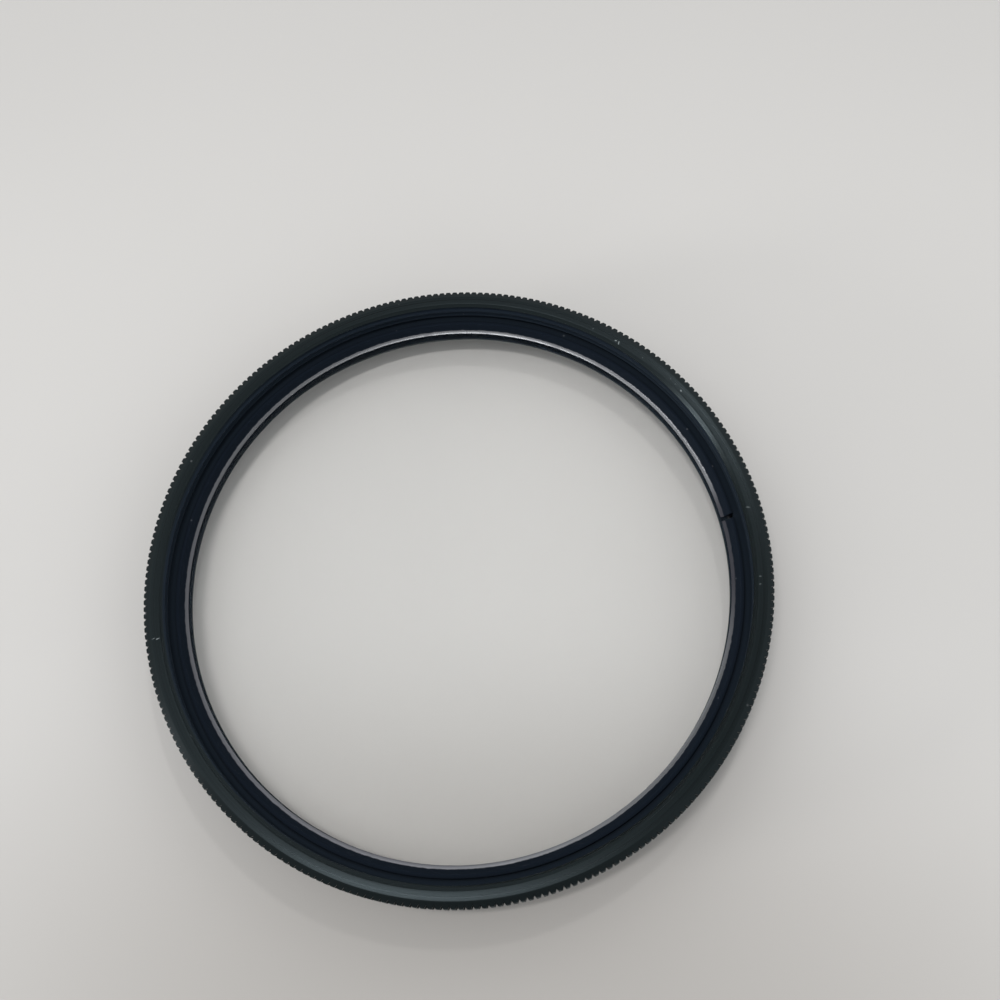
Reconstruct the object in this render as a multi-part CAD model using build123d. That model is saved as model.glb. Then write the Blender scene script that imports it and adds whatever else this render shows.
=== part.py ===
from build123d import *
import math
import os

# Thread of a 52 mm filter, the same at the rear and at the front
thread_d = 52.0
thread_pitch = 0.75
thread_depth = 0.54 * thread_pitch

# Rear thread and its two ends
male_len = 2.6
male_bevel = 0.5
male_relief_h = 0.35
male_relief_cone_h = 0.15
undercut = 0.06

# Knurled rim, as far as it stands proud of the thread, and the plain neck below it
rim_proud = 1.36
knurl_count = 279
knurl_depth = 0.3
knurl_h = 1.6
rim_bevel_w = 0.6
rim_bevel_h = 0.25
neck_bevel = 0.3

# Front thread, from its mouth down to the shelf round the glass pocket
female_len = 2.08
mouth_bevel_h = 0.4
runout_h = 0.4

# Glass pocket, and the lip that the glass lies on
seat_h = 2.65
pocket_step = 0.535
shelf_rise = 0.06
lip_w = 1.315
lip_t = 0.3
lip_cone_w = 0.97
lip_cone_h = 0.55

# Glass disc
glass_t = 1.2
glass_play = 0.16
glass_bevel = 0.15

# Split spring ring that holds the glass
ring_w = 1.095
ring_top_w = 0.3
ring_land_w = 0.34
ring_proud = 0.4
ring_land_drop = 0.55
ring_foot_h = 0.25
ring_foot_reach = 0.16
ring_play = 0.04
ring_gap = 0.4
ring_gap_angle = 12.5

# Levels, measured up from the rear edge
glass_top_z = seat_h + glass_t
groove_low_z = glass_top_z - ring_play
foot_top_z = glass_top_z + ring_foot_h
groove_top_z = foot_top_z + ring_play
shelf_z = groove_top_z + shelf_rise
ring_top_z = shelf_z + ring_proud
ring_land_z = ring_top_z - ring_land_drop
front_z = shelf_z + female_len
rim_top_z = front_z - rim_bevel_h
knurl_low_z = rim_top_z - knurl_h
lip_low_z = seat_h - lip_t

# Radii of the mount ring
male_r = thread_d / 2
female_r = male_r - thread_depth
relief_r = female_r - undercut
runout_r = male_r + undercut
rim_r = male_r + rim_proud
face_outer_r = rim_r - rim_bevel_w
knurl_root_r = rim_r - knurl_depth
neck_r = knurl_root_r - undercut
pocket_r = female_r - pocket_step
clear_r = pocket_r - lip_w
rear_bore_r = clear_r + lip_cone_w

# Radii of the glass and of the spring ring
glass_r = pocket_r - glass_play
ring_outer_r = pocket_r - ring_play
foot_r = pocket_r + ring_foot_reach
groove_r = foot_r + ring_play
ring_inner_r = pocket_r - ring_w
ring_land_r = ring_inner_r + ring_land_w
ring_top_inner_r = ring_outer_r - ring_top_w

# The rim is turned oversize here, and the knurl sets its outer edge
over = 0.5
bevel_slope = rim_bevel_h / rim_bevel_w


def turned(points):
    """A ring turned about the optical axis from its half section."""
    section = Plane.XZ * make_face(Polyline(*points, close=True))
    return revolve(section, axis=Axis.Z)


# Half section of the mount ring, from the rear edge outward and round to the front
mount_points = [
    (rear_bore_r, 0),
    (male_r - male_bevel, 0),
    (male_r, male_bevel),
    (male_r, male_len - male_relief_h - male_relief_cone_h),
    (relief_r, male_len - male_relief_h),
    (relief_r, male_len),
    (neck_r - neck_bevel, male_len),
    (neck_r, male_len + neck_bevel),
    (neck_r, knurl_low_z),
    (rim_r + over, knurl_low_z),
    (rim_r + over, rim_top_z - over * bevel_slope),
    (face_outer_r, front_z),
    (male_r, front_z),
    (female_r, front_z - mouth_bevel_h),
    (female_r, shelf_z + runout_h),
    (runout_r, shelf_z + runout_h),
    (runout_r, shelf_z),
    (pocket_r, shelf_z),
    (pocket_r, groove_top_z),
    (groove_r, groove_top_z),
    (groove_r, groove_low_z),
    (pocket_r, groove_low_z),
    (pocket_r, seat_h),
    (clear_r, seat_h),
    (clear_r, lip_low_z),
    (rear_bore_r, lip_low_z - lip_cone_h),
]
mount_blank = turned(mount_points)

# Straight knurl: V grooves between sharp teeth
tooth_angle = 360 / knurl_count
knurl_outline = []
for tooth in range(knurl_count):
    tip_turn = math.radians(tooth * tooth_angle)
    root_turn = math.radians((tooth + 0.5) * tooth_angle)
    knurl_outline.append((rim_r * math.cos(tip_turn), rim_r * math.sin(tip_turn)))
    knurl_outline.append((knurl_root_r * math.cos(root_turn), knurl_root_r * math.sin(root_turn)))
knurl_prism = extrude(make_face(Polyline(*knurl_outline, close=True)), amount=front_z)
mount_ring = mount_blank & knurl_prism

# Split spring ring, with a foot that snaps into the groove of the pocket
ring_points = [
    (ring_inner_r, glass_top_z),
    (foot_r, glass_top_z),
    (foot_r, foot_top_z),
    (ring_outer_r, foot_top_z),
    (ring_outer_r, ring_top_z),
    (ring_top_inner_r, ring_top_z),
    (ring_land_r, ring_land_z),
    (ring_inner_r, ring_land_z),
]
ring_whole = turned(ring_points)
gap_cutter = Pos(pocket_r, 0, front_z / 2) * Box(pocket_r, ring_gap, 2 * front_z)
retaining_ring = ring_whole - Rot(0, 0, ring_gap_angle) * gap_cutter

# Glass disc with a small ground bevel on both edges
glass_points = [
    (0, seat_h),
    (glass_r - glass_bevel, seat_h),
    (glass_r, seat_h + glass_bevel),
    (glass_r, glass_top_z - glass_bevel),
    (glass_r - glass_bevel, glass_top_z),
    (0, glass_top_z),
]
glass_disc = turned(glass_points)

os.makedirs("parts", exist_ok=True)
export_step(mount_ring, "parts/mount_ring.step")
export_step(retaining_ring, "parts/retaining_ring.step")
export_step(glass_disc, "parts/glass_disc.step")
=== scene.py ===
"""A screw-in lens filter: a knurled and threaded mount ring, a split spring ring and
a clear glass disc, lying front side up on a pale desk."""

import math

import bmesh
import bpy
from bpy.props import FloatProperty, FloatVectorProperty, IntProperty, PointerProperty
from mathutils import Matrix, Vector


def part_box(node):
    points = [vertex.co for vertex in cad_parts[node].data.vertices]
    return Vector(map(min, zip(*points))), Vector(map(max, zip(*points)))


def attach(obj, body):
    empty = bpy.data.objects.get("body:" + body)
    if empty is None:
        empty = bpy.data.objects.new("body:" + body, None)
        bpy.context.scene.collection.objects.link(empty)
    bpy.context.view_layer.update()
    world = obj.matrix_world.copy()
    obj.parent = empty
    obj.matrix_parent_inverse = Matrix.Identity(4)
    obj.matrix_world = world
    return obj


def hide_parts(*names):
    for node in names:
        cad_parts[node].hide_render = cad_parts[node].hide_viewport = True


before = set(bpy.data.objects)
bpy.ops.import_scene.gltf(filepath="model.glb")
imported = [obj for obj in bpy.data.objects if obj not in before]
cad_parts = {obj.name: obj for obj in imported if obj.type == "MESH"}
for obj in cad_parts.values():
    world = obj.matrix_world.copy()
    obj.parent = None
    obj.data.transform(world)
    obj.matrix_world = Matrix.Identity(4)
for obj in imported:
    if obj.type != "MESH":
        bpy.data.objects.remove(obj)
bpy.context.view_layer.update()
MOUNT_LOW, MOUNT_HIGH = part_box("mount_ring")
GLASS_LOW, GLASS_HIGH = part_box("glass_disc")
SPRING_LOW, SPRING_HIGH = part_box("retaining_ring")

bl_info = {
    "name": "Screw-in lens filter",
    "version": (1, 0, 0),
    "blender": (4, 5, 0),
    "location": "3D View > Sidebar > Lens filter",
    "description": "Models a knurled screw-in lens filter and the desk it lies on",
    "category": "Object",
}

# The flat tooth tips stay this far inside the CAD box, in metres
INSIDE = 2e-6

# Pieces are drawn in millimetres and brought to metres when they are finished
MM = 0.001

# Two points this close are the same point, in millimetres
TOUCH = 1e-3

# Air between faces that meet, in millimetres
AIR = 0.005


# Settings


def length(name, description, default):
    """A length that a user may change, in metres."""
    return FloatProperty(
        name=name, description=description, default=default, min=0.0, precision=5, unit="LENGTH"
    )


def colour(name, description, default):
    """A colour that a user may change."""
    return FloatVectorProperty(
        name=name,
        description=description,
        default=default,
        min=0.0,
        max=1.0,
        subtype="COLOR",
        size=3,
    )


def power(name, description, default):
    """The power of a lamp, in watts."""
    return FloatProperty(name=name, description=description, default=default, unit="POWER")


class MountRingSettings(bpy.types.PropertyGroup):
    """Sizes and finish of the turned, threaded and knurled mount ring."""

    rim_radius: length("Rim radius", "Radius over the tips of the knurl", -MOUNT_LOW.x - INSIDE)
    front_height: length("Front height", "Height of the front face", MOUNT_HIGH.z)
    thread_radius: length("Thread radius", "Major radius of both threads", 0.0260)
    thread_pitch: length("Thread pitch", "Rise of the threads in one turn", 0.00075)
    thread_depth: length("Thread depth", "Depth of the thread grooves", 0.000405)
    rear_thread_length: length("Rear thread length", "Height of the rear thread", 0.0026)
    knurl_teeth: IntProperty(
        name="Knurl teeth", description="Teeth round the rim", default=279, min=12
    )
    knurl_depth: length("Knurl depth", "Depth of the knurl grooves", 0.00028)
    knurl_height: length("Knurl height", "Height of the knurled band", 0.0016)
    tip_flat: length("Tip flat", "Width of the flat tooth tips", 0.00032)
    rim_bevel_width: length("Rim bevel width", "Width of the bevel above the knurl", 0.0006)
    rim_bevel_drop: length("Rim bevel drop", "How far that bevel falls", 0.00025)
    mouth_bevel_drop: length("Mouth bevel drop", "How far the bevel of the mouth falls", 0.0004)
    front_thread_depth: length("Front thread depth", "Depth of the mouth to its shelf", 0.00208)
    pocket_radius: length("Pocket radius", "Radius of the pocket that holds the glass", 0.02506)
    clear_radius: length("Clear radius", "Radius of the opening in the rear lip", 0.02393)
    rear_radius: length("Rear radius", "Radius of the bore behind the lip", 0.02515)
    black: colour("Black", "Colour of the anodised face", (0.0024, 0.0036, 0.0037))
    inner_black: colour("Inner black", "Colour of thread and pocket", (0.0044, 0.0074, 0.0132))
    # This grey is also painted into the rear bore and onto the lip edge as painted light
    rubbed: colour("Rubbed", "Colour of rubbed tooth tips", (0.060, 0.065, 0.064))
    bare: colour("Bare metal", "Colour of the metal under a chip", (0.42, 0.46, 0.47))


class SpringRingSettings(bpy.types.PropertyGroup):
    """Sizes and finish of the split spring ring over the glass."""

    inner_radius: length("Inner radius", "Radius of the clear opening", 0.023965)
    land_width: length("Land width", "Width of the bright inner land", 0.00034)
    land_drop: length("Land drop", "How far the land lies below the top", 0.00055)
    top_width: length("Top width", "Width of the flat top", 0.0003)
    outer_radius: length("Outer radius", "Radius of the ring above its foot", 0.02502)
    foot_radius: length("Foot radius", "Radius of the foot in its groove", SPRING_HIGH.y)
    foot_height: length("Foot height", "Height of the foot", 0.00025)
    gap: length("Gap", "Width of the split", 0.0004)
    gap_angle: FloatProperty(
        name="Gap angle",
        description="Where the split lies",
        default=math.radians(12.5),
        subtype="ANGLE",
    )
    black: colour("Black", "Colour of the blackened ring", (0.0030, 0.0048, 0.0088))
    bright: colour("Bright", "Colour of the bare inner land", (0.165, 0.168, 0.177))
    # This colour is also painted shade on the land round the near left; elsewhere it darkens the
    # land beside the split and in stains
    darker_land_and_painted_shade: colour("Dull", "Colour of the land where it has dulled", (0.042, 0.042, 0.049))


class GlassSettings(bpy.types.PropertyGroup):
    """Sizes and finish of the glass disc."""

    radius: length("Radius", "Radius of the glass disc", GLASS_HIGH.x)
    bevel: length("Bevel", "Width of the ground bevel", 0.00015)
    tint: colour("Tint", "Colour of the clear glass", (0.985, 0.99, 0.985))
    ground: colour("Ground edge", "Colour of the blackened ground edge", (0.030, 0.032, 0.036))


class StageSettings(bpy.types.PropertyGroup):
    """Desk, lights and camera."""

    desk: colour("Desk", "Colour of the desk", (0.592, 0.569, 0.550))
    desk_size: length("Desk size", "Side of the desk", 4.0)
    window_power: power("Window", "Power of the low window", 3.0)
    near_lamp_power: power("Near lamp", "Power of the near ceiling lamp", 1.6)
    far_lamp_power: power("Far lamp", "Power of the far ceiling lamp", 0.5)
    room_light: FloatProperty(
        name="Room light", description="Strength of the light from the room", default=1.0
    )
    lens: FloatProperty(
        name="Lens", description="Focal length in millimetres", default=45.862, unit="CAMERA"
    )


# Drawing


def draw_section(name, points):
    """One vertex drawn out step by step into a closed half section in the XZ plane."""
    bpy.ops.object.select_all(action="DESELECT")
    bpy.ops.mesh.primitive_plane_add(size=1.0, location=(0, 0, 0))
    piece = bpy.context.object
    piece.name = name
    piece.data.name = name
    bpy.ops.object.mode_set(mode="EDIT")
    bpy.ops.mesh.select_mode(type="VERT")
    bpy.ops.mesh.select_all(action="SELECT")
    bpy.ops.mesh.merge(type="CENTER")
    here = Vector((points[0][0], 0, points[0][1]))
    bpy.ops.transform.translate(value=here)
    for radius, height in points[1:]:
        there = Vector((radius, 0, height))
        bpy.ops.mesh.extrude_vertices_move(TRANSFORM_OT_translate={"value": there - here})
        here = there
    ends = (points[0], points[-1])
    pick(piece, "VERT", lambda vertex: any(at_corner(vertex.co, end) for end in ends))
    bpy.ops.mesh.edge_face_add()
    return piece


def at_corner(place, corner):
    """True if a section vertex lies at this radius and height."""
    return math.hypot(place.x - corner[0], place.z - corner[1]) < TOUCH


def pick(piece, kind, test):
    """Selects the vertices, edges or faces that pass a test, and nothing else."""
    bpy.ops.mesh.select_mode(type=kind)
    bpy.ops.mesh.select_all(action="DESELECT")
    mesh = bmesh.from_edit_mesh(piece.data)
    items = {"VERT": mesh.verts, "EDGE": mesh.edges, "FACE": mesh.faces}[kind]
    for item in items:
        if test(item):
            item.select_set(True)
    mesh.select_flush_mode()
    bmesh.update_edit_mesh(piece.data)


def soften(piece, corners, width, segments=2):
    """Rounds corners of a half section before it is spun."""
    pick(piece, "VERT", lambda vertex: any(at_corner(vertex.co, corner) for corner in corners))
    bpy.ops.mesh.bevel(offset_type="OFFSET", offset=width, segments=segments, affect="VERTICES")


def divide(piece, start, end, step):
    """Divides a straight stretch of a half section into rows about a step apart in height."""
    low, high = sorted((start[1], end[1]))
    inner, outer = sorted((start[0], end[0]))

    def on_stretch(edge):
        middle = (edge.verts[0].co + edge.verts[1].co) / 2
        rise = abs(edge.verts[0].co.z - edge.verts[1].co.z)
        inside = inner - TOUCH <= middle.x <= outer + TOUCH and low < middle.z < high
        return inside and rise > (high - low) / 2

    pick(piece, "EDGE", on_stretch)
    bpy.ops.mesh.subdivide(number_cuts=max(1, round((high - low) / step) - 1))


def spin_round(piece, steps, angle=2 * math.pi):
    """Spins the whole section about the optical axis and closes the seam."""
    bpy.ops.mesh.select_all(action="SELECT")
    bpy.ops.mesh.spin(
        steps=steps, angle=angle, use_auto_merge=False, center=(0, 0, 0), axis=(0, 0, 1)
    )
    bpy.ops.mesh.select_all(action="SELECT")
    bpy.ops.mesh.remove_doubles(threshold=2 * TOUCH)


def radius_of(place):
    """How far a place lies from the optical axis."""
    return math.hypot(place.x, place.y)


def finish_piece(piece, node, materials, crease):
    """Brings a drawn piece to metres, shades it, and sets it in place of its CAD node."""
    bpy.ops.mesh.select_all(action="SELECT")
    bpy.ops.mesh.normals_make_consistent(inside=False)
    bpy.ops.mesh.select_all(action="DESELECT")
    bpy.ops.object.mode_set(mode="OBJECT")
    piece.scale = (MM, MM, MM)
    bpy.ops.object.transform_apply(location=False, rotation=True, scale=True)
    bpy.ops.object.shade_smooth_by_angle(angle=math.radians(crease))
    for material in materials:
        piece.data.materials.append(material)
    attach(piece, "root")
    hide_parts(node)


# Shading nodes


def feed(tree, node, values):
    """Sets the inputs of a node, or links them where a value is another node's output."""
    for socket, value in values.items():
        if isinstance(value, bpy.types.NodeSocket):
            tree.links.new(value, node.inputs[socket])
        else:
            node.inputs[socket].default_value = value


def add(tree, kind, values=None, **settings):
    """Adds a node, with its settings and its inputs."""
    made = tree.nodes.new(kind)
    for name, value in settings.items():
        setattr(made, name, value)
    feed(tree, made, values or {})
    return made


def maths(tree, operation, first, second=0.0, third=0.0, clamp=False):
    """One step of arithmetic."""
    values = {0: first, 1: second, 2: third}
    return add(tree, "ShaderNodeMath", values, operation=operation, use_clamp=clamp).outputs[0]


def times(tree, first, second):
    """One value times another."""
    return maths(tree, "MULTIPLY", first, second)


def between(tree, value, low, high):
    """0 below low, 1 above high, and smooth between them."""
    values = {"Value": value, "From Min": low, "From Max": high}
    made = add(tree, "ShaderNodeMapRange", values, interpolation_type="SMOOTHSTEP")
    return made.outputs["Result"]


def below(tree, value, low, high):
    """1 below low, 0 above high, and smooth between them."""
    return maths(tree, "SUBTRACT", 1.0, between(tree, value, low, high), clamp=True)


def rgba(value):
    """A plain colour with its alpha, or a link as it is."""
    return value if isinstance(value, bpy.types.NodeSocket) else (*value, 1.0)


def blend_colour(tree, factor, first, second):
    """The first colour where the factor is 0, the second where it is 1."""
    values = {0: factor, 6: rgba(first), 7: rgba(second)}
    return add(tree, "ShaderNodeMix", values, data_type="RGBA").outputs[2]


def blend_value(tree, factor, first, second):
    """The first value where the factor is 0, the second where it is 1."""
    values = {0: factor, 2: first, 3: second}
    return add(tree, "ShaderNodeMix", values, data_type="FLOAT").outputs[0]


def lighten(tree, shade, gain):
    """A colour made lighter with its hue kept."""
    values = {"Value": gain, "Color": rgba(shade)}
    return add(tree, "ShaderNodeHueSaturation", values).outputs[0]


def noise(tree, position, scale, detail):
    """A cloudy pattern from 0 to 1."""
    values = {"Vector": position, "Scale": scale, "Detail": detail}
    return add(tree, "ShaderNodeTexNoise", values).outputs["Fac"]


def line_noise(tree, along, detail):
    """A pattern that changes only along one value."""
    values = {"W": along, "Scale": 1.0, "Detail": detail}
    return add(tree, "ShaderNodeTexNoise", values, noise_dimensions="1D").outputs[0]


def vector_maths(tree, operation, first, second):
    """One step of arithmetic on vectors."""
    values = {0: first, 1: second}
    return add(tree, "ShaderNodeVectorMath", values, operation=operation).outputs[0]


def size_of(tree, vector):
    """The length of a vector."""
    made = add(tree, "ShaderNodeVectorMath", {0: vector}, operation="LENGTH")
    return made.outputs["Value"]


def radius_node(tree, position):
    """How far the shaded point lies from the optical axis."""
    return size_of(tree, vector_maths(tree, "MULTIPLY", position, (1, 1, 0)))


def axes_of(tree, position):
    """The X, Y and Z of a vector."""
    return add(tree, "ShaderNodeSeparateXYZ", {0: position}).outputs


def bump_node(tree, height, strength, distance):
    """A normal that follows a height."""
    values = {"Height": height, "Strength": strength, "Distance": distance}
    return add(tree, "ShaderNodeBump", values).outputs["Normal"]


def lathe_tangent(tree):
    """The direction in which a lathe tool went round."""
    return add(tree, "ShaderNodeTangent", direction_type="RADIAL", axis="Z").outputs[0]


# Shared effects


def new_group(name, inputs, outputs):
    """A shader node group with named inputs and outputs."""
    tree = bpy.data.node_groups.new(name, "ShaderNodeTree")
    for label, kind, default in inputs:
        socket = tree.interface.new_socket(label, in_out="INPUT", socket_type=kind)
        if default is not None:
            socket.default_value = default
    for label, kind in outputs:
        tree.interface.new_socket(label, in_out="OUTPUT", socket_type=kind)
    start = tree.nodes.new("NodeGroupInput")
    end = tree.nodes.new("NodeGroupOutput")
    return tree, start.outputs, end.inputs


def group_node(tree, group, **values):
    """Places a group in a material with its own values."""
    made = add(tree, "ShaderNodeGroup", node_tree=group)
    feed(tree, made, values)
    return made.outputs


# Broad rings follow each other this much more slowly than fine ones, and their tone changes
# between these levels
BROAD_RINGS = 0.11
RING_TONE = (0.3, 0.7)


def turning_marks():
    """Fine rings that a lathe leaves: height and tone change along the radius and the height."""
    name = "Turning marks"
    if name in bpy.data.node_groups:
        return bpy.data.node_groups[name]
    tree, given, result = new_group(
        name,
        [("Position", "NodeSocketVector", None), ("Fineness", "NodeSocketFloat", 30000.0)],
        [("Height", "NodeSocketFloat"), ("Tone", "NodeSocketFloat")],
    )
    radius = radius_node(tree, given["Position"])
    height = axes_of(tree, given["Position"])["Z"]
    across = times(tree, maths(tree, "ADD", radius, height), given["Fineness"])
    fine = line_noise(tree, across, 2.0)
    broad = line_noise(tree, times(tree, across, BROAD_RINGS), 1.0)
    tree.links.new(fine, result["Height"])
    tree.links.new(between(tree, broad, *RING_TONE), result["Tone"])
    return tree


# How far a chip's outline strays, and where it fades, as shares of its half sizes
CHIP_RAGGED = 1.3
CHIP_FADE = (0.55, 1.0)


def chipped_spot():
    """A ragged spot round a place, longer one way than the other."""
    name = "Chipped spot"
    if name in bpy.data.node_groups:
        return bpy.data.node_groups[name]
    tree, given, result = new_group(
        name,
        [
            ("Position", "NodeSocketVector", None),
            ("Place", "NodeSocketVector", None),
            ("Turn", "NodeSocketFloat", 0.0),
            ("Along", "NodeSocketFloat", 0.0003),
            ("Across", "NodeSocketFloat", 0.0001),
        ],
        [("Mask", "NodeSocketFloat")],
    )
    offset = vector_maths(tree, "SUBTRACT", given["Position"], given["Place"])
    ragged = noise(tree, given["Position"], 5200.0, 2.0)
    back = times(tree, given["Turn"], -1.0)
    values = {"Vector": offset, "Angle": back}
    turned = add(tree, "ShaderNodeVectorRotate", values, rotation_type="Z_AXIS").outputs[0]
    parts = axes_of(tree, turned)
    along = maths(tree, "DIVIDE", parts["X"], given["Along"])
    across = maths(tree, "DIVIDE", parts["Y"], given["Across"])
    depth = maths(tree, "DIVIDE", parts["Z"], given["Along"])
    flat = maths(tree, "ADD", times(tree, along, along), times(tree, across, across))
    far = maths(tree, "SQRT", maths(tree, "ADD", flat, times(tree, depth, depth)))
    stray = times(tree, maths(tree, "SUBTRACT", ragged, 0.5), CHIP_RAGGED)
    mask = below(tree, maths(tree, "ADD", far, stray), *CHIP_FADE)
    tree.links.new(mask, result["Mask"])
    return tree


def dust_specks():
    """Small pale specks, scattered."""
    name = "Dust specks"
    if name in bpy.data.node_groups:
        return bpy.data.node_groups[name]
    tree, given, result = new_group(
        name,
        [
            ("Position", "NodeSocketVector", None),
            ("Spread", "NodeSocketFloat", 1200.0),
            ("Share", "NodeSocketFloat", 0.06),
            ("Size", "NodeSocketFloat", 0.12),
        ],
        [("Mask", "NodeSocketFloat")],
    )
    values = {"Vector": given["Position"], "Scale": given["Spread"]}
    cells = add(tree, "ShaderNodeTexVoronoi", values).outputs
    chance = add(tree, "ShaderNodeSeparateColor", {0: cells["Color"]}).outputs[0]
    chosen = maths(tree, "LESS_THAN", chance, given["Share"])
    reach = maths(tree, "DIVIDE", cells["Distance"], given["Size"])
    near = maths(tree, "SUBTRACT", 1.0, reach, clamp=True)
    tree.links.new(times(tree, chosen, near), result["Mask"])
    return tree


# Materials


def new_material(name):
    """A material with a bare node tree and its Principled shader."""
    material = bpy.data.materials.new(name)
    material.use_nodes = True
    tree = material.node_tree
    tree.nodes.clear()
    shader = add(tree, "ShaderNodeBsdfPrincipled")
    output = add(tree, "ShaderNodeOutputMaterial")
    tree.links.new(shader.outputs[0], output.inputs["Surface"])
    position = add(tree, "ShaderNodeTexCoord").outputs["Object"]
    return material, tree, shader, position


# Cold sheen of both blackened rings
SHEEN_TINT = (0.74, 0.92, 1.0, 1.0)

# Turned rings spread a highlight across their grooves
ACROSS_GROOVES = 0.25

# Mount ring: radii and heights between which its finish changes, in metres
MOUTH_RADIUS, MOUTH_HEIGHT = (0.02595, 0.02604), (0.0058, 0.0059)
SATIN_HEIGHT = (0.00575, 0.00590)
BORE_RADIUS, BORE_HEIGHT = (0.02525, 0.02535), (0.0019, 0.0021)
LIP_RADIUS = (0.02396, 0.02400)
TIP_RADIUS, TIP_CLOUD = (0.02728, 0.02735), (0.36, 0.62)
RING_GAIN = 1.35
# Share of that grey painted into the rear bore as painted light, and onto the lip edge as partly
# rubbed metal, partly a painted highlight
BORE_AND_LIP_PAINTED_LIGHT = 0.6

# Mount ring: its roughness, its dust and the height of its turned rings beside a chip's depth
FACE_ROUGHNESS = (0.27, 0.31)
THREAD_ROUGHNESS = 0.75
CHIP_ROUGHNESS = 0.34
DUST_ROUGHNESS = 0.8
MOUNT_DUST, MOUNT_DUST_SHARE = (0.30, 0.31, 0.32), 0.35
RING_HEIGHT = 0.35

# Chips in the front face: radius in millimetres, angle and lean in degrees,
# half sizes in millimetres, and the share of bare metal that shows
CHIPS = (
    (26.14, 55.9, 20, 0.20, 0.060, 0.50),
    (26.20, 56.7, 110, 0.12, 0.045, 0.50),
    (26.24, 39.7, 60, 0.13, 0.075, 0.50),
    (26.28, 41.5, 20, 0.07, 0.035, 0.25),
    (26.34, 42.9, 40, 0.06, 0.030, 0.25),
    (26.22, 62.0, 0, 0.09, 0.035, 0.40),
    (26.22, 50.1, 30, 0.08, 0.035, 0.20),
    (26.13, 12.3, -14, 0.26, 0.042, 0.28),
    (26.13, -1.4, 0, 0.13, 0.060, 0.18),
    (26.10, -2.9, 15, 0.13, 0.055, 0.20),
    (26.20, -166.8, 13, 0.22, 0.050, 0.50),
    (26.58, -167.0, 13, 0.20, 0.022, 0.40),
)


def face_chips(tree, position, front_height):
    """All chips of the front face in one mask."""
    chips = None
    for reach, angle, lean, along, across, share in CHIPS:
        turn = math.radians(angle)
        flat = Vector((math.cos(turn), math.sin(turn), 0.0)) * reach * MM
        spot = group_node(
            tree,
            chipped_spot(),
            Position=position,
            Place=flat + Vector((0.0, 0.0, front_height)),
            Turn=turn + math.radians(lean),
            Along=along * MM,
            Across=across * MM,
        )
        mask = times(tree, spot["Mask"], share)
        chips = mask if chips is None else maths(tree, "MAXIMUM", chips, mask)
    return chips


def anodised_black(settings):
    """Black anodised aluminium: turned rings, rubbed tooth tips, chips, a little dust, painted
    light in the rear bore, and a lip edge that is partly rubbed bare metal and partly a painted
    highlight.
    """
    material, tree, shader, position = new_material("Black anodised aluminium")
    radius = radius_node(tree, position)
    height = axes_of(tree, position)["Z"]
    marks = group_node(tree, turning_marks(), Position=position, Fineness=26000.0)

    inside = times(tree, below(tree, radius, *MOUTH_RADIUS), below(tree, height, *MOUTH_HEIGHT))
    shade = blend_colour(tree, inside, settings.black, settings.inner_black)
    shade = blend_colour(tree, marks["Tone"], shade, lighten(tree, shade, RING_GAIN))

    # Painted light: the rear bore is lightened so the shade under the lip looks lit, and the lip
    # edge is lightened, partly as rubbed bare metal, partly as a painted highlight
    bore = times(tree, below(tree, radius, *BORE_RADIUS), below(tree, height, *BORE_HEIGHT))
    bore = maths(tree, "MAXIMUM", bore, below(tree, radius, *LIP_RADIUS))
    shade = blend_colour(tree, times(tree, bore, BORE_AND_LIP_PAINTED_LIGHT), shade, settings.rubbed)
    cloud = noise(tree, position, 1500.0, 4.0)
    tips = times(tree, between(tree, radius, *TIP_RADIUS), between(tree, cloud, *TIP_CLOUD))
    shade = blend_colour(tree, tips, shade, settings.rubbed)

    specks = group_node(
        tree, dust_specks(), Position=position, Spread=1150.0, Share=0.05, Size=0.16
    )
    dust = specks["Mask"]
    shade = blend_colour(tree, times(tree, dust, MOUNT_DUST_SHARE), shade, MOUNT_DUST)
    chips = face_chips(tree, position, settings.front_height)
    shade = blend_colour(tree, chips, shade, settings.bare)

    satin = blend_value(tree, marks["Tone"], *FACE_ROUGHNESS)
    satin = blend_value(tree, between(tree, height, *SATIN_HEIGHT), THREAD_ROUGHNESS, satin)
    satin = blend_value(tree, dust, satin, DUST_ROUGHNESS)
    satin = blend_value(tree, chips, satin, CHIP_ROUGHNESS)
    relief = maths(tree, "SUBTRACT", times(tree, marks["Height"], RING_HEIGHT), chips)

    feed(
        tree,
        shader,
        {
            "Base Color": shade,
            "Roughness": satin,
            "Metallic": chips,
            "Normal": bump_node(tree, relief, 0.5, 0.00002),
            "Tangent": lathe_tangent(tree),
            "IOR": 1.3,
            "Specular Tint": SHEEN_TINT,
            "Anisotropic": 0.65,
            "Anisotropic Rotation": ACROSS_GROOVES,
        },
    )
    return material


# Spring ring: how far the edge of its bare land strays and lies in, and where it fades, in metres
LAND_RAGGED = 0.00014
LAND_INSET = 0.00002
LAND_FADE = (-0.00006, 0.00005)
LAND_HEIGHT = (0.00398, 0.00403)

# Spring ring: where its land is darker: beside the split in radians, round the near left as
# painted shade, and in stains
DARKER_BEFORE, DARKER_PAST = (-0.22, -0.02), (0.22, 0.62)
PAINTED_SHADE_SIDE, PAINTED_SHADE_REACH, PAINTED_SHADE_SHARE = math.radians(-135.0), (0.0, 0.9), 0.72
STAIN_REACH, STAIN_SHARE = (0.50, 0.72), 0.5

# Spring ring: its roughness, its dust and the gain of its turned rings
BLACK_ROUGHNESS = (0.70, 0.80)
LAND_ROUGHNESS = (0.26, 0.42)
SPRING_DUST, SPRING_DUST_SHARE = (0.28, 0.29, 0.31), 0.3
SPRING_RING_GAIN = 1.5


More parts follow.
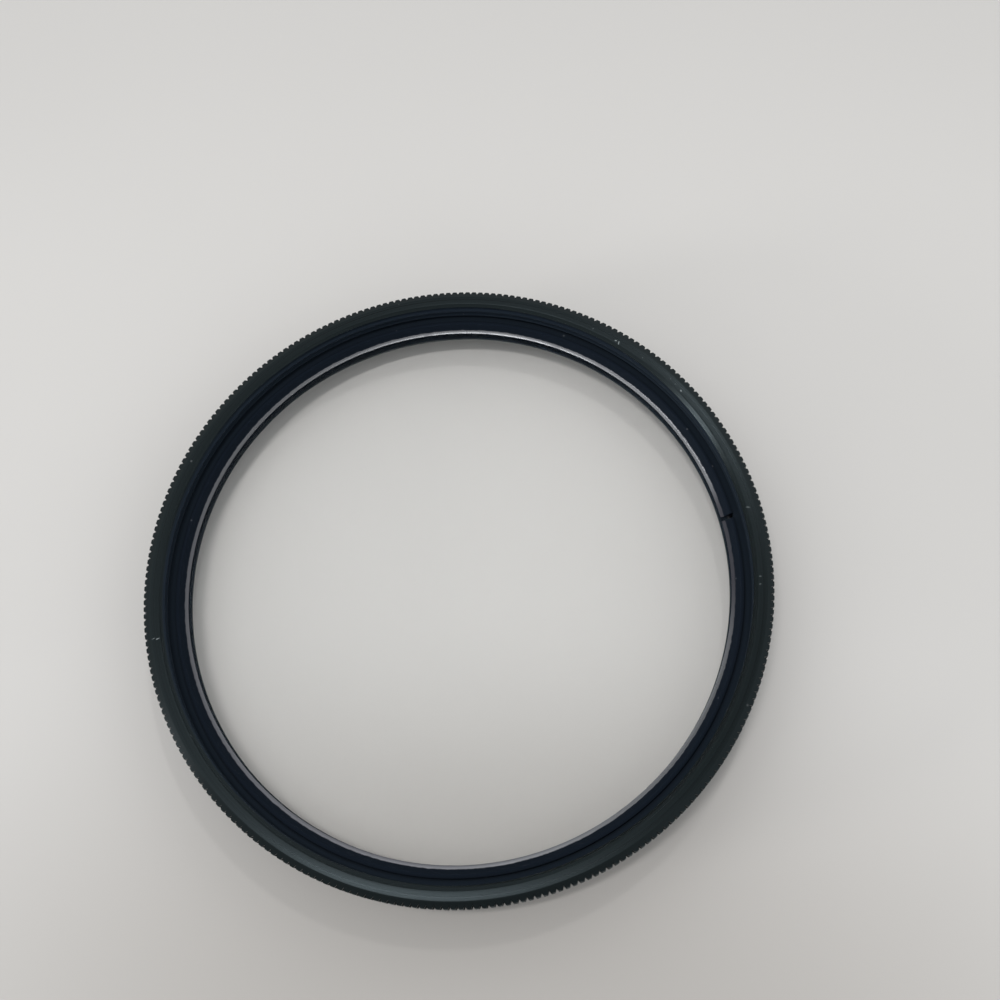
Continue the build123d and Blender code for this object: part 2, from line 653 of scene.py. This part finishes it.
def blackened_spring(settings):
    """Black spring ring whose narrow inner land is bare and bright, darker beside the split and
    in stains, with painted shade round the near left.
    """
    material, tree, shader, position = new_material("Blackened spring ring")
    radius = radius_node(tree, position)
    parts = axes_of(tree, position)
    marks = group_node(tree, turning_marks(), Position=position, Fineness=24000.0)

    ragged = noise(tree, position, 2600.0, 3.0)
    edge = times(tree, maths(tree, "SUBTRACT", ragged, 0.5), LAND_RAGGED)
    land_edge = settings.inner_radius + settings.land_width - LAND_INSET
    fade = (land_edge + LAND_FADE[0], land_edge + LAND_FADE[1])
    land = below(tree, maths(tree, "ADD", radius, edge), *fade)
    land = times(tree, land, between(tree, parts["Z"], *LAND_HEIGHT))

    angle = maths(tree, "ARCTAN2", parts["Y"], parts["X"])
    past = maths(tree, "SUBTRACT", settings.gap_angle, angle)
    darker_land_and_painted_shade = times(tree, between(tree, past, *DARKER_BEFORE), below(tree, past, *DARKER_PAST))
    # Painted shade: the land is darker round the near left
    side = maths(tree, "COSINE", maths(tree, "SUBTRACT", angle, PAINTED_SHADE_SIDE))
    side = times(tree, between(tree, side, *PAINTED_SHADE_REACH), PAINTED_SHADE_SHARE)
    darker_land_and_painted_shade = maths(tree, "MAXIMUM", darker_land_and_painted_shade, side)
    stain = between(tree, noise(tree, position, 620.0, 3.0), *STAIN_REACH)
    darker_land_and_painted_shade = maths(tree, "MAXIMUM", darker_land_and_painted_shade, times(tree, stain, STAIN_SHARE))
    metal = blend_colour(tree, darker_land_and_painted_shade, settings.bright, settings.darker_land_and_painted_shade)

    specks = group_node(
        tree, dust_specks(), Position=position, Spread=1400.0, Share=0.05, Size=0.16
    )
    lighter = lighten(tree, settings.black, SPRING_RING_GAIN)
    shade = blend_colour(tree, marks["Tone"], settings.black, lighter)
    dust = times(tree, specks["Mask"], SPRING_DUST_SHARE)
    shade = blend_colour(tree, dust, shade, SPRING_DUST)
    shade = blend_colour(tree, land, shade, metal)

    black_satin = blend_value(tree, marks["Tone"], *BLACK_ROUGHNESS)
    land_satin = blend_value(tree, darker_land_and_painted_shade, *LAND_ROUGHNESS)

    feed(
        tree,
        shader,
        {
            "Base Color": shade,
            "Roughness": blend_value(tree, land, black_satin, land_satin),
            "Metallic": land,
            "Normal": bump_node(tree, marks["Height"], 0.2, 0.00001),
            "Tangent": lathe_tangent(tree),
            "IOR": 1.2,
            "Specular Tint": SHEEN_TINT,
            "Anisotropic": 0.6,
            "Anisotropic Rotation": ACROSS_GROOVES,
        },
    )
    return material


# Share of lamp light that the glass lets through, and its roughness where it is most smeared
GLASS_CLEAR = 0.99
SMEAR_ROUGHNESS = 0.03


def let_lamps_through(tree, shader):
    """Lamps light what lies behind the glass."""
    output = next(node for node in tree.nodes if node.type == "OUTPUT_MATERIAL")
    tint = {"Color": (GLASS_CLEAR, GLASS_CLEAR, GLASS_CLEAR, 1.0)}
    clear = add(tree, "ShaderNodeBsdfTransparent", tint).outputs[0]
    path = add(tree, "ShaderNodeLightPath").outputs
    surface = shader.outputs[0]
    for ray in ("Is Diffuse Ray", "Is Shadow Ray"):
        mixed = {0: path[ray], 1: surface, 2: clear}
        surface = add(tree, "ShaderNodeMixShader", mixed).outputs[0]
    tree.links.new(surface, output.inputs["Surface"])


def clear_glass(settings):
    """Polished and coated clear glass with the faintest smears.

    A low index mirrors as little as the coating does."""
    material, tree, shader, position = new_material("Clear filter glass")
    values = {"Vector": position, "Scale": 90.0, "Detail": 4.0, "Distortion": 1.5}
    smear = add(tree, "ShaderNodeTexNoise", values).outputs["Fac"]
    values = {"Value": smear, "To Min": 0.0, "To Max": SMEAR_ROUGHNESS}
    feed(
        tree,
        shader,
        {
            "Base Color": rgba(settings.tint),
            "Roughness": add(tree, "ShaderNodeMapRange", values).outputs[0],
            "Transmission Weight": 1.0,
            "IOR": 1.2,
        },
    )
    let_lamps_through(tree, shader)
    return material


# Ground edge of the glass: the darkest grain as a share of its colour, and its roughness
GRAIN_DARK = 0.8
GRAIN_ROUGHNESS = (0.45, 0.7)


def ground_glass(settings):
    """The finely ground and blackened edge of the glass."""
    material, tree, shader, position = new_material("Ground glass edge")
    grain = noise(tree, position, 4000.0, 3.0)
    darker = tuple(GRAIN_DARK * part for part in settings.ground)
    feed(
        tree,
        shader,
        {
            "Base Color": blend_colour(tree, grain, darker, settings.ground),
            "Roughness": blend_value(tree, grain, *GRAIN_ROUGHNESS),
            "Normal": bump_node(tree, grain, 0.3, 0.00001),
            "Specular IOR Level": 0.0,
        },
    )
    return material


# Desk: how far its tone strays, the middle and spread of the painted shade on its front, and the
# tones and distances in metres at which painted shade darkens it in front and again far away
DESK_MOTTLE = 0.02
DESK_FRONT, DESK_SPREAD = (0.003, -0.038, 0.0), (0.5, 1.0, 0.0)
FRONT_PAINTED_SHADE, FRONT_REACH = (0.71, 0.695, 0.68), (0.006, 0.038)
FAR_PAINTED_SHADE, FAR_REACH = 0.92, (0.070, 0.115)


def pale_desk(settings):
    """Matt pale desk, faintly mottled, with painted shade that darkens it towards its front and
    again far from the filter.
    """
    material, tree, shader, position = new_material("Pale desk")
    paler = tuple(part * (1 + DESK_MOTTLE) for part in settings.desk)
    darker = tuple(part * (1 - DESK_MOTTLE) for part in settings.desk)
    shade = blend_colour(tree, noise(tree, position, 38.0, 5.0), darker, paler)

    # Painted shade: the desk is darkened in front of the filter and again far away from it
    offset = vector_maths(tree, "SUBTRACT", position, DESK_FRONT)
    away = size_of(tree, vector_maths(tree, "MULTIPLY", offset, DESK_SPREAD))
    painted_front_shade = tuple(part * tone for part, tone in zip(settings.desk, FRONT_PAINTED_SHADE))
    shade = blend_colour(tree, between(tree, away, *FRONT_REACH), painted_front_shade, shade)
    painted_far_shade = tuple(part * FAR_PAINTED_SHADE for part in settings.desk)
    shade = blend_colour(tree, between(tree, away, *FAR_REACH), shade, painted_far_shade)

    grain = noise(tree, position, 900.0, 3.0)
    feed(
        tree,
        shader,
        {
            "Base Color": shade,
            "Normal": bump_node(tree, grain, 0.08, 0.0001),
            "Roughness": 0.62,
            "Specular IOR Level": 0.25,
        },
    )
    return material


# Pieces

# Mount ring: small lengths that a user doesn't change, in millimetres
UNDERCUT = 0.06
LEAD_BEVEL = 0.5
RELIEF, RELIEF_CONE = 0.35, 0.5
NECK_BEVEL = 0.3
RUNOUT = 0.4
GROOVE_ABOVE, GROOVE_BELOW, GROOVE_REACH = 0.29, 0.04, 0.2
LIP_EDGE, LIP_CONE = 0.1, 0.65

# How far the corners of the sections are rounded, in millimetres
FACE_ROUND, REAR_ROUND, LIP_ROUND = 0.035, 0.05, 0.03
SPRING_TOP_ROUND, SPRING_ROUND = 0.06, 0.03

# Height of one row of a thread's wall, and how far under its root a row still counts,
# in millimetres
ROW = 0.042
ROOT_SLACK = 0.08

# Flat share of a thread's crest and of its root
CREST, ROOT = 0.125, 0.25

# An edge that rises more than this stands upright, in millimetres
UPRIGHT = 0.1

# Steps round the spring ring and the glass
SPRING_STEPS = 360
GLASS_SIDES = 240

# Edges sharper than this stay sharp, in degrees
RING_CREASE, GLASS_CREASE = 32, 20

# Faces of the glass whose normal stands more upright than this are polished
POLISHED = 0.95


def groove_share(turns, crest, root):
    """How deep a thread groove is, from 0 on its crest to 1 at its root."""
    off_root = abs(turns % 1.0 - 0.5) * 2
    return min(1.0, max(0.0, (1 - crest - off_root) / (1 - crest - root)))


def cut_threads(piece, settings):
    """Presses both right-handed threads into the rows of their walls."""
    major = settings.thread_radius / MM
    depth = settings.thread_depth / MM
    pitch = settings.thread_pitch / MM
    front = settings.front_height / MM
    rear = settings.rear_thread_length / MM
    runout_top = front - settings.front_thread_depth / MM + RUNOUT
    minor = major - depth
    mesh = bmesh.from_edit_mesh(piece.data)
    for vertex in mesh.verts:
        radius = radius_of(vertex.co)
        turns = vertex.co.z / pitch - math.atan2(vertex.co.y, vertex.co.x) / (2 * math.pi)
        if vertex.co.z < rear - TOUCH and minor - ROOT_SLACK < radius < major + TOUCH:
            cut = min(radius, major - depth * groove_share(turns, CREST, ROOT))
        elif vertex.co.z > runout_top - TOUCH and minor - TOUCH < radius < major + TOUCH:
            cut = max(radius, minor + depth * groove_share(turns, ROOT, CREST))
        else:
            continue
        vertex.co.x *= cut / radius
        vertex.co.y *= cut / radius
    bmesh.update_edit_mesh(piece.data)


def press_knurl(piece, settings, sharp, bevel_slope, top):
    """Presses the knurl into every second column of the rim, and flattens the tooth tips."""
    columns = 2 * settings.knurl_teeth
    depth = sharp - (settings.rim_radius - settings.knurl_depth) / MM
    half_pitch = math.pi * settings.rim_radius / MM / settings.knurl_teeth
    tip_cut = settings.tip_flat / MM / 2 * math.hypot(half_pitch, depth) / half_pitch

    def on_rim(vertex):
        return radius_of(vertex.co) > sharp - TOUCH

    def in_groove(vertex):
        turns = math.atan2(vertex.co.y, vertex.co.x) / (2 * math.pi)
        return on_rim(vertex) and round(turns * columns) % columns % 2 == 1

    pick(piece, "VERT", lambda vertex: in_groove(vertex) and vertex.co.z > top - TOUCH)
    bpy.ops.transform.translate(value=(0, 0, depth * bevel_slope))
    pick(piece, "VERT", in_groove)
    shrink = (sharp - depth) / sharp
    bpy.ops.transform.resize(value=(shrink, shrink, 1.0), center_override=(0, 0, 0))

    def tip_edge(edge):
        first, second = edge.verts
        upright = abs(first.co.z - second.co.z) > UPRIGHT
        return upright and on_rim(first) and on_rim(second)

    pick(piece, "EDGE", tip_edge)
    bpy.ops.mesh.bevel(offset_type="OFFSET", offset=tip_cut, segments=1, affect="EDGES")


class FILTER_OT_mount_ring(bpy.types.Operator):
    """Turn, thread and knurl the mount ring"""

    bl_idname = "lens_filter.mount_ring"
    bl_label = "Mount ring"

    def execute(self, context):
        settings = context.scene.filter_mount
        rim = settings.rim_radius / MM
        front = settings.front_height / MM
        major = settings.thread_radius / MM
        minor = major - settings.thread_depth / MM
        rear = settings.rear_thread_length / MM
        pocket = settings.pocket_radius / MM
        clear = settings.clear_radius / MM
        bore = settings.rear_radius / MM
        depth = settings.knurl_depth / MM
        neck = rim - depth - UNDERCUT
        relief = minor - UNDERCUT
        runout = major + UNDERCUT
        bevel_width = settings.rim_bevel_width / MM
        bevel_drop = settings.rim_bevel_drop / MM
        slope = bevel_drop / bevel_width
        rim_top = front - bevel_drop
        knurl_low = rim_top - settings.knurl_height / MM
        face = rim - bevel_width

        # The rim is turned out to where the teeth would be sharp
        flat_share = settings.tip_flat / MM * settings.knurl_teeth / (2 * math.pi * rim)
        over = depth * flat_share / (1 - flat_share)
        sharp, sharp_top = rim + over, rim_top - over * slope

        shelf = front - settings.front_thread_depth / MM
        glass_top = GLASS_HIGH.z / MM
        seat = GLASS_LOW.z / MM - AIR
        groove_top, groove_low = glass_top + GROOVE_ABOVE, glass_top - GROOVE_BELOW
        groove = pocket + GROOVE_REACH
        corner = {
            "rear inner": (bore, 0.0),
            "rear outer": (major - LEAD_BEVEL, 0.0),
            "rear thread start": (major, LEAD_BEVEL),
            "rear thread end": (major, rear - RELIEF_CONE),
            "relief start": (relief, rear - RELIEF),
            "relief end": (relief, rear),
            "shoulder": (neck - NECK_BEVEL, rear),
            "neck start": (neck, rear + NECK_BEVEL),
            "neck end": (neck, knurl_low),
            "knurl low": (sharp, knurl_low),
            "knurl high": (sharp, sharp_top),
            "face outer": (face, front),
            "face inner": (major, front),
            "mouth": (minor, front - settings.mouth_bevel_drop / MM),
            "front thread end": (minor, shelf + RUNOUT),
            "run-out high": (runout, shelf + RUNOUT),
            "run-out low": (runout, shelf),
            "shelf": (pocket, shelf),
            "groove mouth high": (pocket, groove_top),
            "groove high": (groove, groove_top),
            "groove low": (groove, groove_low),
            "groove mouth low": (pocket, groove_low),
            "seat": (pocket, seat),
            "lip top": (clear, seat),
            "lip low": (clear, seat - LIP_EDGE),
            "bore top": (bore, seat - LIP_CONE),
        }
        piece = draw_section("knurled_mount_ring", list(corner.values()))
        soften(piece, (corner["face outer"], corner["face inner"]), FACE_ROUND, segments=3)
        rear_corners = (corner["rear inner"], corner["shoulder"], corner["neck start"])
        soften(piece, rear_corners, REAR_ROUND)
        lip_corners = (corner["lip top"], corner["lip low"], corner["bore top"])
        soften(piece, lip_corners, LIP_ROUND)
        for start, end in (
            ("rear outer", "rear thread start"),
            ("rear thread start", "rear thread end"),
            ("rear thread end", "relief start"),
            ("face inner", "mouth"),
            ("mouth", "front thread end"),
        ):
            divide(piece, corner[start], corner[end], ROW)
        spin_round(piece, 2 * settings.knurl_teeth)
        press_knurl(piece, settings, sharp, slope, sharp_top)
        cut_threads(piece, settings)
        finishes = [anodised_black(settings)]
        finish_piece(piece, "mount_ring", finishes, RING_CREASE)
        return {"FINISHED"}


class FILTER_OT_spring_ring(bpy.types.Operator):
    """Bend the split spring ring that holds the glass"""

    bl_idname = "lens_filter.spring_ring"
    bl_label = "Split spring ring"

    def execute(self, context):
        settings = context.scene.filter_spring
        inner = settings.inner_radius / MM
        outer = settings.outer_radius / MM
        foot = settings.foot_radius / MM
        low, top = SPRING_LOW.z / MM + AIR, SPRING_HIGH.z / MM
        land = top - settings.land_drop / MM
        land_out = inner + settings.land_width / MM
        top_in = outer - settings.top_width / MM
        foot_top = low + settings.foot_height / MM
        corner = {
            "inner low": (inner, low),
            "foot low": (foot, low),
            "foot high": (foot, foot_top),
            "outer low": (outer, foot_top),
            "outer high": (outer, top),
            "top inner": (top_in, top),
            "land outer": (land_out, land),
            "land inner": (inner, land),
        }
        piece = draw_section("split_spring_ring", list(corner.values()))
        soften(piece, (corner["outer high"], corner["top inner"]), SPRING_TOP_ROUND, segments=3)
        edges = (corner["land inner"], corner["foot low"], corner["foot high"])
        soften(piece, edges, SPRING_ROUND)
        gap_turn = settings.gap / MM / ((inner + outer) / 2)
        spin_round(piece, SPRING_STEPS, 2 * math.pi - gap_turn)

        def at_end(vertex, turn):
            off = math.atan2(vertex.co.y, vertex.co.x) - turn
            return abs((off + math.pi) % (2 * math.pi) - math.pi) < gap_turn / 8

        # The section stays at angle 0, and the spun end lies one gap to either side of it
        mesh = bmesh.from_edit_mesh(piece.data)
        onward = any(at_end(vertex, gap_turn) for vertex in mesh.verts)
        far_end = gap_turn if onward else -gap_turn
        for turn in (0.0, far_end):
            pick(piece, "VERT", lambda vertex, turn=turn: at_end(vertex, turn))
            bpy.ops.mesh.edge_face_add()
        piece.rotation_euler.z = settings.gap_angle - far_end / 2
        finishes = [blackened_spring(settings)]
        finish_piece(piece, "retaining_ring", finishes, RING_CREASE)
        return {"FINISHED"}


class FILTER_OT_glass_disc(bpy.types.Operator):
    """Grind the clear glass disc"""

    bl_idname = "lens_filter.glass_disc"
    bl_label = "Glass disc"

    def execute(self, context):
        settings = context.scene.filter_glass
        radius = settings.radius / MM
        low, high = GLASS_LOW.z / MM, GLASS_HIGH.z / MM
        bpy.ops.object.select_all(action="DESELECT")
        bpy.ops.mesh.primitive_cylinder_add(
            vertices=GLASS_SIDES,
            radius=radius,
            depth=high - low,
            end_fill_type="TRIFAN",
            location=(0, 0, 0),
        )
        piece = context.object
        piece.name = "clear_glass_disc"
        piece.data.name = piece.name
        bpy.ops.object.mode_set(mode="EDIT")
        bpy.ops.mesh.select_all(action="SELECT")
        bpy.ops.transform.translate(value=(0, 0, (low + high) / 2))

        def rim_edge(edge):
            first, second = edge.verts
            level = abs(first.co.z - second.co.z) < TOUCH
            return level and min(radius_of(first.co), radius_of(second.co)) > radius - TOUCH

        pick(piece, "EDGE", rim_edge)
        bevel = settings.bevel / MM
        bpy.ops.mesh.bevel(offset_type="OFFSET", offset=bevel, segments=1, affect="EDGES")
        finishes = [clear_glass(settings), ground_glass(settings)]
        finish_piece(piece, "glass_disc", finishes, GLASS_CREASE)

        # The second finish goes on the ground edge
        bpy.ops.object.mode_set(mode="EDIT")
        pick(piece, "FACE", lambda face: abs(face.normal.z) < POLISHED)
        piece.active_material_index = 1
        bpy.ops.object.material_slot_assign()
        bpy.ops.object.mode_set(mode="OBJECT")
        return {"FINISHED"}


# Stage

# Lamps: name, place and size in metres, and the setting that holds the power
LAMPS = (
    ("window_light", (-0.849, -0.260, 0.140), (0.20, 0.20), "window_power"),
    ("near_ceiling_lamp", (-0.105, -0.026, 0.792), (0.05, 0.20), "near_lamp_power"),
    ("far_ceiling_lamp", (0.118, 0.324, 0.724), (0.04, 0.04), "far_lamp_power"),
)

# Camera: place in metres, turn in degrees, framing and nearest distance
CAMERA_PLACE = (0.0096653, -0.0301629, 0.1131815)
CAMERA_TURN = (23.36148, 2.93936, 0.60781)
CAMERA_SENSOR = 36.0
CAMERA_SHIFT = -0.10
CAMERA_NEAR = 0.005

# Room: levels of its light from the ground up, and the heights between which they change
GROUND_LEVEL, WALL_LEVEL, UPPER_LEVEL = 0.25, 1.18, 1.14
WALL_RISE, UPPER_RISE, CEILING_RISE = (0.10, 0.36), (0.35, 0.65), (0.65, 0.92)

# Room: the gain to the right, and the ceiling from its left to its right
RIGHT_GAIN = 0.10
CEILING_LEFT, CEILING_RIGHT, CEILING_CHANGE = 1.3, 0.37, (-0.34, -0.10)

# Room: the direction of its dark near side, and the levels there low down and high up
NEAR_SIDE, NEAR_REACH = (-0.26, -0.966, 0.0), (0.25, 0.60)
NEAR_LOW, NEAR_HIGH = 1.4, 0.22
ROOM_COLOUR = (0.95, 0.985, 1.0, 1.0)


class FILTER_OT_stage(bpy.types.Operator):
    """Lay the desk and set the lights and the camera"""

    bl_idname = "lens_filter.stage"
    bl_label = "Desk, lights and camera"

    def execute(self, context):
        settings = context.scene.filter_stage
        scene = context.scene
        scene.view_settings.view_transform = "Standard"
        bpy.ops.object.select_all(action="DESELECT")
        bpy.ops.mesh.primitive_plane_add(size=settings.desk_size, location=(0, 0, 0))
        desk = context.object
        desk.name = "desk_top"
        desk.data.materials.append(pale_desk(settings))

        for name, place, size, power_setting in LAMPS:
            self.lamp(name, place, size, getattr(settings, power_setting))
        self.room(scene, settings.room_light)

        turn = tuple(math.radians(part) for part in CAMERA_TURN)
        bpy.ops.object.camera_add(location=CAMERA_PLACE, rotation=turn)
        camera = context.object
        camera.name = "desk_camera"
        camera.data.sensor_width = CAMERA_SENSOR
        camera.data.lens = settings.lens
        camera.data.shift_y = CAMERA_SHIFT
        camera.data.clip_start = CAMERA_NEAR
        camera.data.dof.use_dof = False
        scene.camera = camera
        return {"FINISHED"}

    def lamp(self, name, place, size, watts):
        """A soft lamp that faces the filter."""
        turn = (-Vector(place)).to_track_quat("-Z", "Y").to_euler()
        bpy.ops.object.light_add(type="AREA", location=place, rotation=turn)
        lamp = bpy.context.object
        lamp.name = name
        lamp.data.shape = "ELLIPSE"
        lamp.data.size, lamp.data.size_y = size
        lamp.data.energy = watts

    def room(self, scene, strength):
        """Light from the room: bright all round, dim overhead, dark on the near side."""
        world = bpy.data.worlds.new("Room")
        scene.world = world
        world.use_nodes = True
        tree = world.node_tree
        tree.nodes.clear()
        direction = add(tree, "ShaderNodeTexCoord").outputs["Generated"]
        parts = axes_of(tree, direction)
        up, right = parts["Z"], parts["X"]

        level = blend_value(tree, between(tree, up, *WALL_RISE), GROUND_LEVEL, WALL_LEVEL)
        level = blend_value(tree, between(tree, up, *UPPER_RISE), level, UPPER_LEVEL)
        level = times(tree, level, maths(tree, "MULTIPLY_ADD", right, RIGHT_GAIN, 1.0))
        over = between(tree, right, *CEILING_CHANGE)
        ceiling = blend_value(tree, over, CEILING_LEFT, CEILING_RIGHT)
        level = blend_value(tree, between(tree, up, *CEILING_RISE), level, ceiling)

        values = {0: direction, 1: NEAR_SIDE}
        towards = add(tree, "ShaderNodeVectorMath", values, operation="DOT_PRODUCT")
        shaded = blend_value(tree, between(tree, up, *UPPER_RISE), NEAR_LOW, NEAR_HIGH)
        near = between(tree, towards.outputs["Value"], *NEAR_REACH)
        level = blend_value(tree, near, level, shaded)

        values = {"Color": ROOM_COLOUR, "Strength": times(tree, level, strength)}
        background = add(tree, "ShaderNodeBackground", values)
        output = add(tree, "ShaderNodeOutputWorld")
        tree.links.new(background.outputs[0], output.inputs["Surface"])


# Add-on


class FILTER_PT_panel(bpy.types.Panel):
    """Lists the pieces of the lens filter"""

    bl_idname = "FILTER_PT_panel"
    bl_label = "Lens filter"
    bl_space_type = "VIEW_3D"
    bl_region_type = "UI"
    bl_category = "Lens filter"

    def draw(self, context):
        for group, operator in STEPS:
            box = self.layout.box()
            settings = getattr(context.scene, group)
            for name in settings.__annotations__:
                box.prop(settings, name)
            box.operator(operator)


STEPS = (
    ("filter_mount", FILTER_OT_mount_ring.bl_idname),
    ("filter_spring", FILTER_OT_spring_ring.bl_idname),
    ("filter_glass", FILTER_OT_glass_disc.bl_idname),
    ("filter_stage", FILTER_OT_stage.bl_idname),
)
GROUPS = {
    "filter_mount": MountRingSettings,
    "filter_spring": SpringRingSettings,
    "filter_glass": GlassSettings,
    "filter_stage": StageSettings,
}
CLASSES = (
    *GROUPS.values(),
    FILTER_OT_mount_ring,
    FILTER_OT_spring_ring,
    FILTER_OT_glass_disc,
    FILTER_OT_stage,
    FILTER_PT_panel,
)


def register():
    for made in CLASSES:
        bpy.utils.register_class(made)
    for name, group in GROUPS.items():
        setattr(bpy.types.Scene, name, PointerProperty(type=group))


def unregister():
    for name in GROUPS:
        delattr(bpy.types.Scene, name)
    for made in reversed(CLASSES):
        bpy.utils.unregister_class(made)


def main():
    register()
    bpy.ops.lens_filter.mount_ring()
    bpy.ops.lens_filter.spring_ring()
    bpy.ops.lens_filter.glass_disc()
    bpy.ops.lens_filter.stage()


if __name__ == "__main__":
    main()
